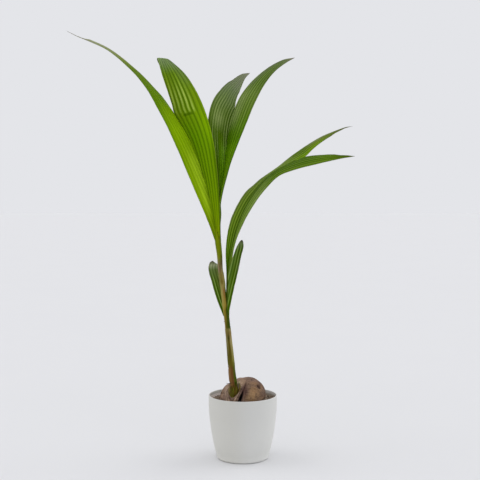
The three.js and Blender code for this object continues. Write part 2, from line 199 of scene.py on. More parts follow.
class Line:
    # a smooth line through points, read at shares of its length
    def __init__(self, points, perSpan=40):
        ends = np.asarray(points, float)
        p = np.vstack([2 * ends[0] - ends[1], ends, 2 * ends[-1] - ends[-2]])
        t = np.linspace(0, 1, perSpan, endpoint=False)[:, None]
        spans = []
        for a, b, c, d in zip(p, p[1:], p[2:], p[3:]):
            before, here, after = (math.sqrt(np.linalg.norm(v - u)) for u, v in ((a, b), (b, c), (c, d)))
            leave = ((b - a) / before - (c - a) / (before + here) + (c - b) / here) * here
            arrive = ((c - b) / here - (d - b) / (here + after) + (d - c) / after) * here
            bend = 3 * (c - b) - 2 * leave - arrive
            twist = 2 * (b - c) + leave + arrive
            spans.append(b + leave * t + bend * t ** 2 + twist * t ** 3)
        self.points = np.vstack([*spans, ends[-1:]])
        steps = np.linalg.norm(np.diff(self.points, axis=0), axis=1)
        self.run = np.concatenate([[0], np.cumsum(steps)])
        self.length = self.run[-1]

    def at(self, shares):
        place = np.clip(shares, 0, 1) * self.length
        return joined(*(np.interp(place, self.run, values) for values in self.points.T))

    def slope(self, shares):
        return unit(self.at(shares + 0.004) - self.at(shares - 0.004))


def meshPiece(name, points, faces, finish, marks=None, corners=None, sharp=45):
    # points, faces and marks become one object; marks are values that the finish reads
    mesh = bpy.data.meshes.new(name)
    mesh.from_pydata(points.reshape(-1, 3).tolist(), [], faces.tolist())
    for key, values in (marks or {}).items():
        layer = mesh.attributes.new(key, "FLOAT", "POINT")
        layer.data.foreach_set("value", np.ascontiguousarray(values, np.float32).ravel())
    if corners is not None:
        layer = mesh.uv_layers.new(name="OFBake")
        layer.uv.foreach_set("vector", np.ascontiguousarray(corners, np.float32).ravel())
    shape = bmesh.new()
    shape.from_mesh(mesh)
    bmesh.ops.remove_doubles(shape, verts=shape.verts, dist=1e-6)
    bmesh.ops.dissolve_degenerate(shape, edges=shape.edges, dist=1e-7)
    bmesh.ops.recalc_face_normals(shape, faces=shape.faces)
    shape.to_mesh(mesh)
    shape.free()
    mesh.shade_smooth()
    mesh.set_sharp_from_angle(angle=math.radians(sharp))
    mesh.materials.append(finish.material)
    made = bpy.data.objects.new(name, mesh)
    scene.collection.objects.link(made)
    return made


def ringFaces(rows, around):
    # the faces between rings of points, and each one's corners on the same skin laid flat
    r, c = np.meshgrid(np.arange(rows - 1), np.arange(around), indexing="ij")
    steps = [(r, c), (r, c + 1), (r + 1, c + 1), (r + 1, c)]
    faces = joined(*(a * around + b % around for a, b in steps))
    corners = np.stack([joined(a / (rows - 1), b / around) for a, b in steps], 2)
    return faces.reshape(-1, 4), corners.reshape(-1, 2)


def ringPiece(name, rings, finish, marks, capped=True, sharp=45):
    # a skin over rings of points, with its two ends closed unless told otherwise
    rows, around = rings.shape[:2]
    faces, corners = ringFaces(rows, around)
    if capped:
        i = np.arange(around // 2 - 1)
        cap = joined(i, i + 1, around - 2 - i, around - 1 - i)
        faces = np.vstack([faces, cap, cap + (rows - 1) * around])
        ends = np.stack([joined(end, cap / around) for end in (0.0, 1.0)])
        corners = np.vstack([corners, ends.reshape(-1, 2)])
    marks = {key: np.broadcast_to(values, (rows, around)) for key, values in marks.items()}
    return meshPiece(name, rings, faces, finish, marks, corners, sharp)


def sheetPiece(name, upper, lower, finish, marks):
    # a thin leaf from its two faces; a mark is one value for both of them, or a pair
    full = {}
    for key, value in marks.items():
        pair = value if isinstance(value, tuple) else (value, value)
        above, below = (np.broadcast_to(values, upper.shape[:2]) for values in pair)
        full[key] = np.concatenate([above, below[:, ::-1]], 1)
    return ringPiece(name, np.concatenate([upper, lower[:, ::-1]], 1), finish, full, sharp=60)


def strands(name, paths, radius, finish, shades):
    # many thin three-sided fibres in one mesh; each path is an array of points
    points, faces, values, base = [], [], [], 0
    for path, shade in zip(paths, shades):
        along = unit(np.gradient(path, axis=0))
        side = unit(np.cross(along, [0.31, 0.22, 0.92]))
        other = np.cross(along, side)
        thin = radius * np.sqrt(np.clip(1 - np.linspace(0, 1, len(path)) ** 3, 0.02, 1))[:, None]
        ring = [path + thin * (side * math.cos(a) + other * math.sin(a)) for a in turns(3)]
        points.append(np.stack(ring, 1).reshape(-1, 3))
        faces.append(base + ringFaces(len(path), 3)[0])
        values += [shade] * 3 * len(path)
        base += 3 * len(path)
    return meshPiece(name, np.vstack(points), np.vstack(faces), finish, {"shade": values}, sharp=180)


def place(piece, slot, *nodes):
    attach(piece, "root")
    if nodes:
        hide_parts(*nodes)
    return piece


# camera, floor and light

view = {
    "eye": (-0.009, -3.0, 0.851), "pitch": -2.79, "focal": 70.245, "sensor": 36, "farthest": 200,
    "sky": (228, 229, 233), "floorHalf": 40.0, "floorPaint": (219, 219, 220),
    "lamps": {
        "leftLamp": {"from": (-2.0, 0.5, 1.5), "strength": 0.50, "spread": 60},
        "rightLamp": {"from": (2.2, 0.9, 1.3), "strength": 0.80, "spread": 60},
        "topLamp": {"from": (-0.3, -0.6, 2.0), "strength": 0.34, "spread": 80},
    },
}


def setStage():
    scene.view_settings.view_transform = "Standard"
    lens = bpy.data.cameras.new("camera")
    lens.lens = view["focal"]
    lens.sensor_width = view["sensor"]
    lens.clip_end = view["farthest"]
    camera = bpy.data.objects.new("camera", lens)
    camera.location = view["eye"]
    camera.rotation_euler = (math.radians(90 + view["pitch"]), 0, 0)
    scene.collection.objects.link(camera)
    scene.camera = camera

    sky = bpy.data.worlds.new("studio")
    sky.use_nodes = True
    sky.node_tree.nodes["Background"].inputs["Color"].default_value = paint(view["sky"])
    scene.world = sky

    for name, lamp in view["lamps"].items():
        light = bpy.data.lights.new(name, "SUN")
        light.energy = lamp["strength"]
        light.angle = math.radians(lamp["spread"])
        holder = bpy.data.objects.new(name, light)
        holder.rotation_euler = Vector(lamp["from"]).to_track_quat("Z", "Y").to_euler()
        scene.collection.objects.link(holder)

    half = view["floorHalf"]
    finish = Finish("floorPaint", 0.1)
    finish.done(finish.scaled(view["floorPaint"], finish.noise(1.5) * 0.02 + 0.99), 0.7)
    points = np.array([(-half, -half, 0), (half, -half, 0), (half, half, 0), (-half, half, 0)])
    floor = meshPiece("floor", points, np.array([[0, 1, 2, 3]]), finish)


setStage()
print("camera, floor and light set")


# pot

pot = {
    "height": 0.205, "rim": 0.110, "wall": 0.003,
    "outside": [(85, 9), (98, 66), (106.6, 125), (110, 165), (110, 203.4)],
    "corner": 0.009, "footRing": 0.070, "footRise": 0.0015, "floor": 0.004,
    "groove": 0.020, "grooveDepth": 0.0005, "grooveWidth": 0.0012, "sides": 192,
    # 'shaded' is painted shade on the left of the pot; 'insideLeft' is painted light on the inner wall,
    # 'insideRight' painted shade where the husk's shadow falls inside
    "white": (213, 213, 209), "shaded": (207, 206, 199), "dusty": (198, 197, 192),
    "insideLeft": (248, 242, 238), "insideRight": (176, 168, 154),
}


def potFinish():
    finish = Finish("potPlastic")
    cloud, speck = finish.noise(9, 4), finish.noise(420, 2)
    x, z = finish.axis(0), finish.axis(2)
    # the inner wall: painted light on the left, painted shade of the husk on the right
    within = finish.mix(x.step(-0.02, 0.08), pot["insideLeft"], pot["insideRight"])
    # painted shade: the left side a little darker and warmer
    colour = finish.mix(x.step(0.03, -0.04), pot["white"], pot["shaded"])
    colour = colour.coats((cloud.step(0.55, 0.8) * 0.2, pot["dusty"]))
    # painted light and shade: darker towards the rim, lighter at the base
    colour = colour.tint(1.02 - z.step(0.05, 0.22) * 0.08 + z.step(0.03, 0.0) * 0.08)
    colour = colour.coats((finish.mark("inside"), within))
    return finish.done(colour, 0.5 + cloud * 0.12, speck + cloud * 0.6, 0.00006)


def makePot():
    wall = Line([(x, 0, z) for x, z in inMetres(pot["outside"])]).at(np.linspace(0, 1, 60))[:, [0, 2]]
    wall[:, 0] -= pot["grooveDepth"] * np.exp(-((wall[:, 1] - pot["groove"]) / pot["grooveWidth"]) ** 2)
    radius, lift, foot = wall[0, 0], pot["corner"], pot["footRing"]
    corner = [(radius - lift * (1 - math.cos(a)), lift * (1 + math.sin(a)))
              for a in np.linspace(-math.pi / 2, 0, 9)[:-1]]
    rise = pot["footRise"]
    under = [(0, rise), (foot - 0.003, rise), (foot - 0.001, rise * 0.6), (foot, 0)]
    lip = pot["wall"] / 2
    top = [(pot["rim"] - lip + lip * math.cos(a), pot["height"] - lip * 1.05 + lip * math.sin(a))
           for a in np.linspace(0, math.pi, 9)[1:]]
    floor = pot["floor"]
    inner = [(x - pot["wall"], z) for x, z in wall[::-1][2:] if z > floor + 0.003]
    end = inner[-1][0]
    inside = [(end - 0.002, floor + 0.0006), (end - 0.006, floor), (0, floor)]
    profile = np.array([*under, *corner, *wall, *top, *inner, *inside])
    turn = turns(pot["sides"])
    out, up = profile[:, :1], profile[:, 1:]
    rings = joined(out * np.cos(turn), out * np.sin(turn), up)
    inward = np.arange(len(profile)) > len(profile) - len(inner) - len(inside)
    shell = ringPiece("pot_shell", rings, potFinish(), {"inside": inward[:, None]}, capped=False)
    place(shell, "pot", "pot")


makePot()
print("pot done")


# soil

soil = {
    "top": 0.190, "unevenness": 0.0025, "radius": 0.1067, "depth": 0.03,
    "rings": 90, "sides": 240, "lump": 0.0022, "sunk": 0.007,
    "crumbs": 2600, "crumbSize": (0.0008, 0.0042), "crumbSpread": 0.985,
    "crumbStretch": (0.6, 1.2), "crumbJag": (0.75, 1.15),
}


def soilHeight(x, y):
    radius, angle = np.hypot(x, y) * 1000, np.arctan2(y, x)
    wave = np.sin(3 * angle + radius / 18) + np.sin(5 * angle - radius / 25)
    return soil["top"] + soil["unevenness"] * wave / 2


def soilFinish():
    finish = Finish("soilMix")
    lump, fine = finish.noise(90, 5, 0.7), finish.noise(700, 3, 0.7)
    pale = (lump + finish.mark("shade") * 0.3).step(0.45, 0.85)
    colour = finish.mix(pale, (98, 82, 68), (164, 146, 126)).tint(0.7 + fine * 0.6)
    return finish.done(colour, 0.95, fine + lump, 0.0006)


def sunk(x):
    # the soil lies lower on the left
    return soil["sunk"] * easeStep(-x, 0.045, 0.085)


def makeSoil():
    turn = turns(soil["sides"])
    radii = np.linspace(0, soil["radius"], soil["rings"])[:, None]
    x, y = radii * np.cos(turn), radii * np.sin(turn)
    z = soilHeight(x, y)
    ground = joined(x, y, z)
    z += soil["lump"] * grain(ground * 110, 3) + soil["lump"] * 0.5 * grain(ground * 380, 2)
    z -= sunk(x)
    z[-1] = z[-2]
    low = joined(x, y, soil["top"] - soil["depth"])[[-1, 0]]
    finish = soilFinish()
    ground = ringPiece("soil_top", np.concatenate([joined(x, y, z), low]), finish, {"shade": 0.5}, False)
    place(ground, "soil", "soil")

    shape = bmesh.new()
    bmesh.ops.create_icosphere(shape, subdivisions=1, radius=1)
    ball = np.array([v.co for v in shape.verts])
    ballFaces = np.array([[v.index for v in f.verts] for f in shape.faces])
    shape.free()
    dice = np.random.default_rng(11)
    count = soil["crumbs"]
    radius = soil["radius"] * soil["crumbSpread"] * np.sqrt(dice.random(count))
    angle = 2 * math.pi * dice.random(count)
    small, large = soil["crumbSize"]
    size = small + (large - small) * dice.random(count) ** 4
    x, y = radius * np.cos(angle), radius * np.sin(angle)
    centres = joined(x, y, soilHeight(x, y) + size * 0.2 - sunk(x))
    stretch = dice.uniform(*soil["crumbStretch"], (count, 1, 3)) * size[:, None, None]
    jag = dice.uniform(*soil["crumbJag"], (count, len(ball), 1))
    points = centres[:, None] + ball * stretch * jag
    faces = (ballFaces[None] + len(ball) * np.arange(count)[:, None, None]).reshape(-1, 3)
    shade = np.repeat(dice.random(count), len(ball))
    place(meshPiece("soil_crumbs", points, faces, finish, {"shade": shade}, sharp=60), "soil")


makeSoil()
print("soil done")


# husk

husk = {
    "centre": (-4, 10, 188), "half": (74, 80, 75), "lean": 0.17,
    "ridges": 3, "ridgeHeight": 0.03, "ridgeTurn": 1.2,
    "crackFoot": (-14, 190), "crackHead": (14, 262),
    "crackOpen": (0.232, 0.212), "creased": (0.268, 0.235), "gap": (0.0002, 0.0024), "gapReach": 0.018,
    "lip": 0.010, "lipDepth": (0.0006, 0.0052), "darkReach": 0.0035, "valleyReach": 0.007,
    "rows": 150, "around": 400, "wallRows": 9, "wallBulge": 0.0012,
    "fibre": 0.00042, "threads": (26, 1.3), "hairs": (80, 3.0), "lumps": 0.0013,
    "socket": 0.016, "socketDepth": 0.0045, "collar": 0.0225, "collarWidth": 0.0055, "collarRise": 0.0048,
    "gash": [(46.5, 239.5), (54.5, 231)], "gashWidth": 0.0022, "gashDepth": 0.004,
    "dots": [(28, 255), (22, 235), (18, 247), (9, 226)], "dotWidth": 0.0017, "dotDepth": 0.0018,
    # spots as x, z, width and height in millimetres: golden fibre, and pinkish fibre with a painted
    # highlight on the left shoulder and the collar ridge
    "golden": (33, 212, 24, 24), "pinkHighlight": (-51, 230, 17, 24), "ridgeHighlight": (-10, 240, 11, 16),
    "dents": [(-40, 4, 250, 28, 60, 26, 10.5), (-80, 0, 210, 26, 60, 26, 4.0),
              (2, 10, 262, 12, 40, 16, 4.5), (58, 5, 247, 11, 50, 12, 2.2)],
    # painted shadow in dark spots beside the crack, under the stem and in the gash
    "shadowSpots": [(9, 226, 8, 15), (-42, 206, 8, 7), (53, 238, 6, 6)],
    "pale": [(-72, 212, 9, 16), (3, 249, 14, 8), (61, 200, 9, 5)],
    "strands": 260, "strandRadius": 0.00011, "strandRows": (10, 30), "strandDrift": 5,
    "strandLift": (0.0001, 0.0007), "strandPaint": ((84, 60, 48), (150, 120, 92)),
}
huskCentre = inMetres(husk["centre"])
huskHalf = inMetres(husk["half"])
crackLine = inMetres(husk["crackHead"]) - inMetres(husk["crackFoot"])
crackNormal = unit(np.array([crackLine[1], 0, -crackLine[0]]))
huskShape = np.diag(huskHalf)
huskShape[0, 2] = husk["lean"] * huskHalf[2]


def huskSurface(heading):
    angle = np.arctan2(heading[..., 2], heading[..., 0])
    swell = np.cos(husk["ridges"] * angle - husk["ridgeTurn"]) * np.hypot(heading[..., 2], heading[..., 0])
    point = heading * huskHalf * (1 + husk["ridgeHeight"] * swell)[..., None]
    point[..., 0] += husk["lean"] * point[..., 2]
    return point + huskCentre


def huskGrid(side):
    # headings from the crack's edge to the far end of one side, and how far round each column is
    across = huskShape.T @ crackNormal
    foot = np.array([husk["crackFoot"][0], 0, husk["crackFoot"][1]]) * 0.001
    pole = unit(across)
    front = np.array([0, -1.0, 0])
    upward = np.cross(pole, front)
    edge = math.asin((foot - huskCentre * [1, 0, 1]) @ crackNormal / np.linalg.norm(across))
    tilt = edge + (side * math.pi / 2 - edge) * np.linspace(0, 1, husk["rows"]) ** 1.4
    turn = turns(husk["around"])
    rim = np.cos(turn)[:, None] * front + np.sin(turn)[:, None] * upward
    heading = np.sin(tilt)[:, None, None] * pole + np.cos(tilt)[:, None, None] * rim
    return heading, tilt - edge, turn


def nearTrace(points, trace, width):
    # 1 on a line drawn over the front, in x and z, falling to 0 away from it
    spots = points[..., ::2]
    start, end = inMetres(trace)
    line = end - start
    along = np.clip((spots - start) @ line / max(line @ line, 1e-12), 0, 1)[..., None]
    away = np.linalg.norm(spots - start - along * line, axis=-1)
    return np.exp(-(away / width) ** 2) * easeStep(-points[..., 1], -0.02, 0.01)


def patch(points, spot):
    x, z, wide, tall = np.array(spot) * 0.001
    away = ((points[..., 0] - x) / wide) ** 2 + ((points[..., 2] - z) / tall) ** 2
    return np.exp(-away) * easeStep(-points[..., 1], -0.05, -0.01)


def patches(points, spots):
    return np.clip(sum(patch(points, spot) for spot in spots), 0, 1)


def huskSkin(side):
    heading, tilt, turn = huskGrid(side)
    points = huskSurface(heading)
    outward = unit(points - huskCentre)
    tilts, roundX, roundY = np.broadcast_arrays(tilt[:, None], np.cos(turn), np.sin(turn))
    fromCrack = np.abs(tilts) * 0.075

    def fibres(around, along, octaves):
        return grain(joined(roundX * around, roundY * around, tilts * along), octaves)

    thread, fine = fibres(*husk["threads"], 4), fibres(*husk["hairs"], 2)
    forward, height = -points[..., 1], points[..., 2]
    relief = husk["fibre"] * (thread * 2 + fine) + husk["lumps"] * grain(points * 30, 3)

    front = easeStep(forward, -0.02, 0.04)
    opened = front * easeStep(height, *husk["crackOpen"])
    creased = front * easeStep(height, *husk["creased"])
    lip = np.clip(1 - fromCrack / husk["lip"], 0, 1)
    depth = np.interp(creased, (0, 1), husk["lipDepth"])
    relief -= depth * (1 - np.sqrt(np.clip(1 - lip ** 2, 0, 1)))

    fromStem = points - axisAt(height)
    clear = np.hypot(fromStem[..., 0], fromStem[..., 1])
    raised = easeStep(height, 0.180, 0.198) * easeStep(forward, 0.0, 0.03)
    ring = np.exp(-((clear - husk["collar"]) / husk["collarWidth"]) ** 2) * raised
    relief += husk["collarRise"] * ring * (1 + 0.5 * thread)
    relief -= husk["socketDepth"] * easeStep(clear, husk["socket"] + 0.003, husk["socket"] - 0.004) * raised
    for dent in inMetres(husk["dents"]):
        relief -= dent[6] * np.exp(-(((points - dent[:3]) / dent[3:6]) ** 2).sum(-1))
    gash = nearTrace(points, husk["gash"], husk["gashWidth"])
    dots = sum(nearTrace(points, [dot, dot], husk["dotWidth"]) for dot in husk["dots"])
    relief -= husk["gashDepth"] * gash ** 2 + husk["dotDepth"] * dots
    points = points + outward * relief[..., None]

    gap = np.interp(opened, (0, 1), husk["gap"]) * (1 + 0.4 * fibres(6, 1, 3))
    points += side * crackNormal * (gap * np.exp(-fromCrack / husk["gapReach"]))[..., None]
    edge = points[:1]
    deep = np.linspace(0.12, 1, husk["wallRows"])[::-1, None, None]
    middle = huskCentre + crackNormal * ((edge - huskCentre) @ crackNormal).mean()
    inside = edge + (middle - edge) * deep * 0.75
    inside += side * husk["wallBulge"] * crackNormal * np.sin(deep * math.pi)

    # each mark over the skin, and its value on the crack's walls
    marks = {
        # 'dark', 'valley' and 'pit' mark painted shade inside the crack, along the crease beside it, and in
        # the gash and holes
        "dark": (np.exp(-(fromCrack / husk["darkReach"]) ** 2) * opened, 1.0),
        "valley": (np.exp(-(fromCrack / husk["valleyReach"]) ** 2) * creased, 1.0),
        "pit": (np.clip(gash + 0.6 * dots, 0, 1), 0.0),
        "golden": (patch(points, husk["golden"]), 0.0),
        # pinkish fibre with a painted highlight on the shoulder, the ridge and the collar ring
        "pinkHighlight": (np.clip(patch(points, husk["pinkHighlight"]) + patch(points, husk["ridgeHighlight"]) + ring, 0, 1), 0.0),
        "shadowSpots": (patches(points, husk["shadowSpots"]), 0.0), "pale": (patches(points, husk["pale"]), 0.0),
        "ring": (clear, 0.0), "collared": (raised * easeStep(clear, 0.045, 0.03), 0.0),
        "roundX": (roundX, 1.0), "roundY": (roundY, 0.0), "lengthwise": (tilts, 0.0),
    }
    wall = np.ones(inside.shape[:2])
    marks = {key: np.concatenate([wall * within, skin]) for key, (skin, within) in marks.items()}
    return np.concatenate([inside, points]), marks


def huskFinish():
    finish = Finish("huskFibre", 0.25)
    mark = finish.mark
    across, up, along = mark("roundX"), mark("roundY"), mark("lengthwise")
    fibres = finish.node("CombineXYZ", {0: across * 22, 1: up * 22, 2: along * 1.4})
    streak, hair = finish.noise(1, 5, 0.65, fibres), finish.noise(6, 3, 0.6, fibres)
    ringed = finish.streaks(mark("ring") * 420, across * 3, 0.0, 3)
    cloud, blotch = finish.noise(24, 3, 0.5), finish.noise(70, 4, 0.6)
    streak = streak + (ringed - streak) * mark("collared")
    colour = finish.mix(streak.step(0.34, 0.64), (66, 47, 38), (138, 110, 94)).coats(
        (mark("golden") * cloud.step(0.25, 0.6) * 0.9, (162, 130, 92)),
        # pinkish fibre, partly a painted highlight on the collar ridges and the left shoulder
        (mark("pinkHighlight") * streak.step(0.3, 0.6) * 0.85, (184, 158, 134)),
        (cloud.step(0.52, 0.68) * 0.35, (156, 118, 76)),
        (blotch.step(0.55, 0.68) * 0.6, (72, 48, 40)),
        (blotch.step(0.42, 0.3) * 0.4, (168, 138, 112)),
        (mark("pale") * 0.6, (184, 152, 122)),
        # painted shadow spots
        (mark("shadowSpots") * 0.75, (62, 34, 30)))
    colour = colour.tint(0.68 + hair * 0.6).coats(
        # painted shade: along the crease, in the gash and holes, and near black inside the crack
        (mark("valley") * 0.75, (78, 48, 44)), (mark("pit"), (44, 26, 22)), (mark("dark"), (20, 12, 10)))
    return finish.done(colour, 0.68 + streak * 0.25, hair + streak * 1.5, 0.0009)


def fibreFinish(name, dark, light):
    finish = Finish(name)
    return finish.done(finish.mix(finish.mark("shade"), dark, light), 0.8)


def makeHusk():
    finish = huskFinish()
    skins = []
    for name, node, side in (("husk_collar", "husk_flap", -1), ("husk_dome", "husk_main", 1)):
        rings, marks = huskSkin(side)
        skins.append(rings[husk["wallRows"]:])
        place(ringPiece(name, rings, finish, marks, sharp=70), "husk", node)

    dice = np.random.default_rng(5)
    paths = []
    for number in range(husk["strands"]):
        skin = skins[number % 3 > 0]
        first = 12 + int(dice.random() ** 2 * len(skin) * 0.7)
        last = min(len(skin) - 1, first + dice.integers(*husk["strandRows"]))
        drift = husk["strandDrift"]
        column = dice.integers(skin.shape[1]) + np.linspace(0, dice.uniform(-drift, drift), last - first)
        path = skin[np.arange(first, last), column.astype(int) % skin.shape[1]]
        if path[:, 2].max() < soil["top"]:
            continue
        low, high = husk["strandLift"]
        lift = low + high * np.sin(np.linspace(0, math.pi, len(path))) * dice.random() ** 2
        paths.append((path + unit(path - huskCentre) * lift[:, None])[::2])
    threads = fibreFinish("looseFibre", *husk["strandPaint"])
    place(strands("husk_fibres", paths, husk["strandRadius"], threads, dice.random(len(paths))), "husk")


# stem

stem = {
    "axis": [(-25, -46, 196), (-27, -46, 224), (-30, -45, 252), (-36, -43, 306), (-40.5, -40, 353),
        (-45, -37, 398), (-50.4, -33, 450), (-57, -30, 500), (-64.5, -26, 563), (-71.5, -22, 612),
        (-74, -18, 655), (-79, -13, 698), (-85, -8, 742)],
    "radii": (12.5, 13.5, 11.3, 10.5, 9.3, 8.0, 8.5, 8.3, 8.0, 7.5, 8.4, 9.8, 4.0), "rows": 460,
    "sides": 72, "ribbing": 0.00025, "rings": (0.304, 0.352, 0.397, 0.424, 0.4285, 0.5, 0.561),
    "ringRise": 0.0006, "ringWidth": 0.0022, "low": 0.18, "high": 0.78, "glossTint": (228, 226, 130),
    # colour runs by height in millimetres: the stem's own colours, with painted light down the left and
    # painted shade on parts of the right
    "left": [(200, 96, 100, 32), (250, 112, 80, 44), (298, 124, 92, 54), (310, 92, 86, 30),
        (340, 88, 80, 28), (390, 128, 120, 76), (414, 116, 98, 52), (422, 126, 116, 62),
        (428, 130, 108, 48), (485, 156, 138, 62), (540, 152, 140, 76), (560, 142, 136, 72),
        (575, 114, 112, 50), (598, 124, 120, 66), (610, 148, 126, 98), (632, 128, 116, 80),
        (650, 126, 128, 34), (690, 104, 120, 10), (760, 120, 146, 6)],
    "middle": [(200, 100, 106, 22), (250, 102, 66, 38), (300, 108, 72, 36), (310, 94, 82, 20),
        (340, 84, 74, 16), (385, 88, 74, 20), (396, 54, 56, 8), (410, 104, 90, 44), (422, 116, 108, 54),
        (428, 76, 78, 18), (480, 128, 114, 34), (510, 152, 128, 54), (530, 148, 114, 54),
        (548, 150, 108, 60), (560, 152, 136, 74), (573, 106, 92, 32), (600, 122, 110, 56),
        (612, 116, 92, 62), (632, 110, 102, 58), (655, 114, 126, 10), (760, 126, 146, 4)],
    "right": [(200, 84, 66, 24), (250, 62, 76, 12), (300, 76, 84, 20), (330, 126, 120, 56),
        (385, 152, 140, 92), (414, 128, 108, 64), (422, 142, 134, 90), (428, 54, 70, 6), (530, 60, 74, 8),
        (546, 108, 106, 48), (556, 138, 136, 68), (575, 156, 142, 76), (600, 160, 144, 86),
        (614, 142, 134, 88), (634, 94, 80, 50), (662, 104, 116, 14), (760, 96, 110, 8)],
}
stemLine = Line(inMetres(stem["axis"]))


def axisAt(height):
    return joined(*(np.interp(height, stemLine.points[:, 2], values) for values in stemLine.points.T))


def stemRadius(height):
    return np.interp(height, [z * 0.001 for x, y, z in stem["axis"]], np.array(stem["radii"]) * 0.001)


def stemFinish(name, wear, brightness=1.0, fibrous=False):
    # three colour runs up the stem, left, middle and right, blended round it and broken up by streaks; with
    # the stem's own colours they carry painted light on the left and painted shade on the right
    finish = Finish(name, 0.12, stem["glossTint"])
    z, right, front = finish.axis(2), finish.mark("right"), finish.mark("front")
    streak = finish.streaks(right * 5, front * 5, z * 12, 4)
    line = finish.streaks(right * 24, front * 24, z * 20, 3)
    fibre = finish.streaks(right * 13, front * 13, z * 26 + 4, 3)
    mottle = finish.noise(170, 3, 0.6)
    low, high = stem["low"], stem["high"]
    height = (z + (streak - 0.5) * 0.016 - low) / (high - low)
    runs = []
    for side in ("left", "middle", "right"):
        stops = [((at * 0.001 - low) / (high - low), *colour) for at, *colour in stem[side]]
        runs.append(finish.ramp(height, stops))
    turned = right + (streak - 0.5) * 0.9 + z.window(0.42, 0.435, 0.48, 0.50) * 0.3
    turned = turned - z.window(0.48, 0.50, 0.545, 0.56) * 0.25
    colour = finish.mix(turned.step(-0.55, -0.15), runs[0], runs[1]).coats(
        (turned.step(0.12, 0.5), runs[2]),
        (mottle.step(0.58, 0.74) * 0.4 * wear, (70, 56, 22)),
        (streak.step(0.62, 0.75) * 0.35 * wear, (172, 150, 108)))
    if fibrous:
        colour = colour.coats((fibre.step(0.56, 0.66) * 0.45, (180, 158, 104)),
                              (fibre.step(0.44, 0.34) * 0.55, (84, 66, 26)))
    colour = colour.tint((0.72 + line * 0.56) * brightness)
    roughness = 0.42 + mottle * 0.25 + wear * 0.1
    return finish.done(colour, roughness, line + mottle * 0.5 + fibre, 0.0003 + wear * 0.0003)


def makeStem():
    height = np.linspace(stem["axis"][0][2], stem["axis"][-1][2], stem["rows"])[:, None] * 0.001
    turn = turns(stem["sides"])
    right, front = np.cos(turn), -np.sin(turn)
    spot = joined(right * 7, front * 7, height * 9)
    radius = stemRadius(height) + stem["ribbing"] * 2 * grain(spot, 4)
    radius = radius + stem["ribbing"] * grain(spot * 4, 2)
    for ring in stem["rings"]:
        wobble = 0.0012 * np.sin(turn + ring * 90)
        radius = radius + stem["ringRise"] * np.exp(-((height - ring - wobble) / stem["ringWidth"]) ** 2)
    rings = axisAt(height) + joined(right * radius, -front * radius, 0)
    marks = {"right": right, "front": front}
    place(ringPiece("stem_trunk", rings, stemFinish("stemSkin", 0.6), marks, sharp=70), "stem", "stem")


makeHusk()
print("husk done")
makeStem()
print("stem done")


# sheaths round the stem

wrapShape = {"rows": 60, "columns": 64, "bulgeAt": 1.0, "tuck": 0.0,
             "pits": [(-39, 226, 3.4, 6.5), (-15, 226, 4, 6), (-24, 214, 6, 4)]}
sheaths = {
    "each": ("foot", "top", "facing", "wrap", "narrow", "lift", "flare", "thick", "ragged"),
    "lower": (0.2525, 0.304, -112, 210, 0.5, 0.0006, 0.0007, 0.0008, 0.006),
    "middle": (0.302, 0.427, -66, 300, 0.8, 0.0004, 0.0006, 0.0006, 0.003),
    "upper": (0.556, 0.634, -75, 250, 0.3, 0.0005, 0.0010, 0.0006, 0.011),
}


def wrap(name, own, finish):
    # a leaf base round the stem, from outside to inside round its section, with a torn top
    shape = {**wrapShape, **own}
    turn = np.linspace(-0.5, 0.5, shape["columns"])
    rise = np.linspace(0, 1, shape["rows"])[:, None]
    tear = 0.5 + 0.5 * grain(joined(turn * 14, 0, shape["foot"] * 50), 4)
    point = np.cos(turn * math.pi) ** 0.7
    top = shape["top"] - shape["ragged"] * (tear + (1 - point) * 1.5)
    height = shape["foot"] + (top - shape["foot"]) * rise
    narrowing = 1 - (1 - shape["narrow"]) * easeStep(rise, 0.25, 1.0)
    angle = np.radians(shape["facing"] + shape["wrap"] * turn * narrowing)
    outward = joined(np.cos(angle), np.sin(angle), 0)
    crease = 0.00035 * grain(joined(turn * 18, rise * 2, 0), 3)
    bulge = easeStep(rise, 0, shape["bulgeAt"]) * (1 - shape["tuck"] * rise ** 3)
    gap = stemRadius(height) + shape["lift"] * easeStep(rise, 0, 0.1) + shape["flare"] * bulge + crease
    edge = np.sqrt(np.clip(1 - (2 * turn) ** 8, 0.1, 1)) * np.sqrt(np.clip(1.02 - rise ** 12, 0.1, 1))
    edge = edge * easeStep(rise, -0.02, 0.10)
    outer = axisAt(height) + outward * (gap + shape["thick"] * edge)[..., None]
    inner = axisAt(height) + outward * gap[..., None]
    marks = {"right": outward[..., 0], "front": -outward[..., 1], "turn": turn, "level": rise,
             "pit": sum(patch(outer, spot) for spot in shape["pits"])}
    return sheetPiece(name, outer, inner, finish, marks)


for level in ("lower", "middle", "upper"):
    # each wrap takes the stem's colour runs painted a little lighter than the trunk, as painted light that
    # lets its edges show
    finish = stemFinish(level + "_wrapSkin", 1.0, 1.04, level == "upper")
    shape = dict(zip(sheaths["each"], sheaths[level]))
    place(wrap(level + "_wrap", shape, finish), "dry_sheath", level + "_sheath")
print("sheaths done")


# green scales at the stem's foot

